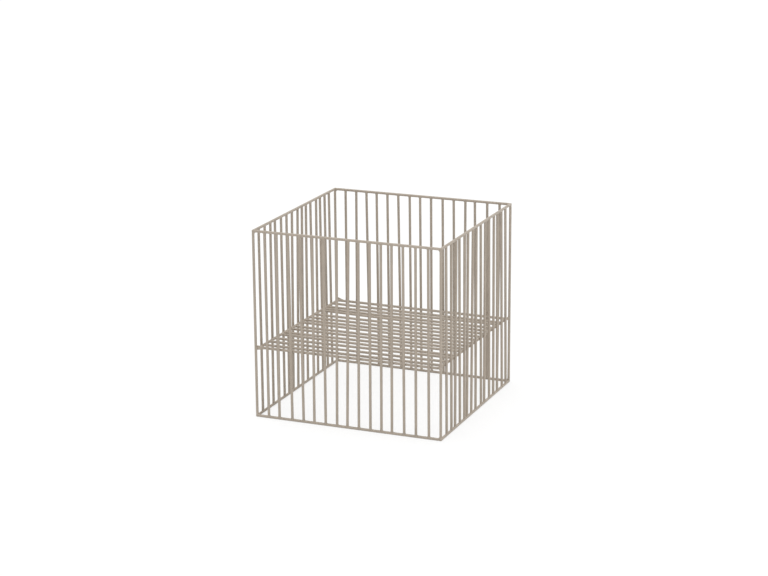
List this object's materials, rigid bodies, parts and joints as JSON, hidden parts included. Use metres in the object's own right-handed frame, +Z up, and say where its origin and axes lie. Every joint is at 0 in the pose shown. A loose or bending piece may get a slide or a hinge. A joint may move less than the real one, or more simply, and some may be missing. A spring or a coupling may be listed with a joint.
{
  "type": "wire basket",
  "caption": "Square basket of welded upright steel wires with an open top and an open bottom, and a wire shelf a little over a third of the way up.",
  "frame": {"origin": "on the floor below the middle of the basket", "axes": "+X to the right along the front wall, +Y to the back wall, +Z up"},
  "size_m": [0.3, 0.3, 0.29],
  "materials": {
    "warm_grey_coat": "satin powder coat on steel wire"
  },
  "bodies": {
    "root": {"front_frame": "warm_grey_coat", "front_bar_01": "warm_grey_coat", "front_bar_02": "warm_grey_coat", "front_bar_03": "warm_grey_coat", "front_bar_04": "warm_grey_coat", "front_bar_05": "warm_grey_coat", "front_bar_06": "warm_grey_coat", "front_bar_07": "warm_grey_coat", "front_bar_08": "warm_grey_coat", "front_bar_09": "warm_grey_coat", "front_bar_10": "warm_grey_coat", "front_bar_11": "warm_grey_coat", "front_bar_12": "warm_grey_coat", "front_bar_13": "warm_grey_coat", "front_bar_14": "warm_grey_coat", "front_bar_15": "warm_grey_coat", "back_frame": "warm_grey_coat", "back_bar_01": "warm_grey_coat", "back_bar_02": "warm_grey_coat", "back_bar_03": "warm_grey_coat", "back_bar_04": "warm_grey_coat", "back_bar_05": "warm_grey_coat", "back_bar_06": "warm_grey_coat", "back_bar_07": "warm_grey_coat", "back_bar_08": "warm_grey_coat", "back_bar_09": "warm_grey_coat", "back_bar_10": "warm_grey_coat", "back_bar_11": "warm_grey_coat", "back_bar_12": "warm_grey_coat", "back_bar_13": "warm_grey_coat", "back_bar_14": "warm_grey_coat", "back_bar_15": "warm_grey_coat", "left_wall_grille": "warm_grey_coat", "right_wall_grille": "warm_grey_coat", "shelf_frame": "warm_grey_coat", "shelf_wire_01": "warm_grey_coat", "shelf_wire_02": "warm_grey_coat", "shelf_wire_03": "warm_grey_coat", "shelf_wire_04": "warm_grey_coat", "shelf_wire_05": "warm_grey_coat", "shelf_wire_06": "warm_grey_coat", "shelf_wire_07": "warm_grey_coat", "shelf_wire_08": "warm_grey_coat", "shelf_wire_09": "warm_grey_coat", "shelf_wire_10": "warm_grey_coat", "shelf_wire_11": "warm_grey_coat", "shelf_wire_12": "warm_grey_coat", "shelf_wire_13": "warm_grey_coat", "shelf_wire_14": "warm_grey_coat", "shelf_wire_15": "warm_grey_coat"}
  },
  "joints": []
}
